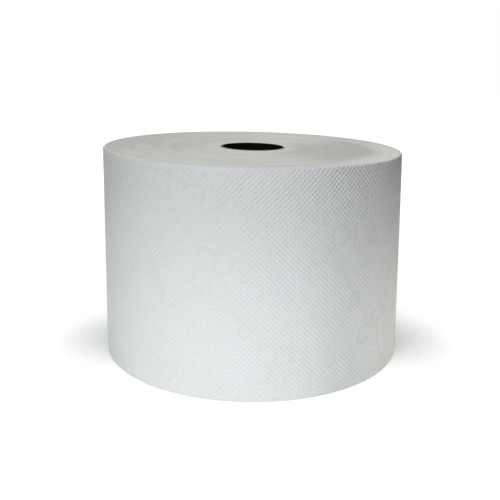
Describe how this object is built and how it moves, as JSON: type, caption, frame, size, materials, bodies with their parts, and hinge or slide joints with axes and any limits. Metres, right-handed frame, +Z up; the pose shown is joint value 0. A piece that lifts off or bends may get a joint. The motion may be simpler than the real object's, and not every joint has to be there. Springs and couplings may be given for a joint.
{
  "type": "centrefeed toilet paper roll",
  "caption": "Wide, flat roll of white embossed paper wound on a card tube, standing on one flat end with its bore upright.",
  "frame": {"origin": "centre of the lower end, on the surface that the roll stands on", "axes": "+Z up along the core's bore; -Y is the side that faces the viewer; the upper end is lowest on the +X side"},
  "size_m": [0.2001, 0.2, 0.1376],
  "materials": {
    "tissue": "matte, embossed with fine points and pressed flowers",
    "board": "matte, spiral-wound grey-brown board"
  },
  "bodies": {
    "root": {"paper_roll": "tissue", "core": "board"}
  },
  "joints": []
}
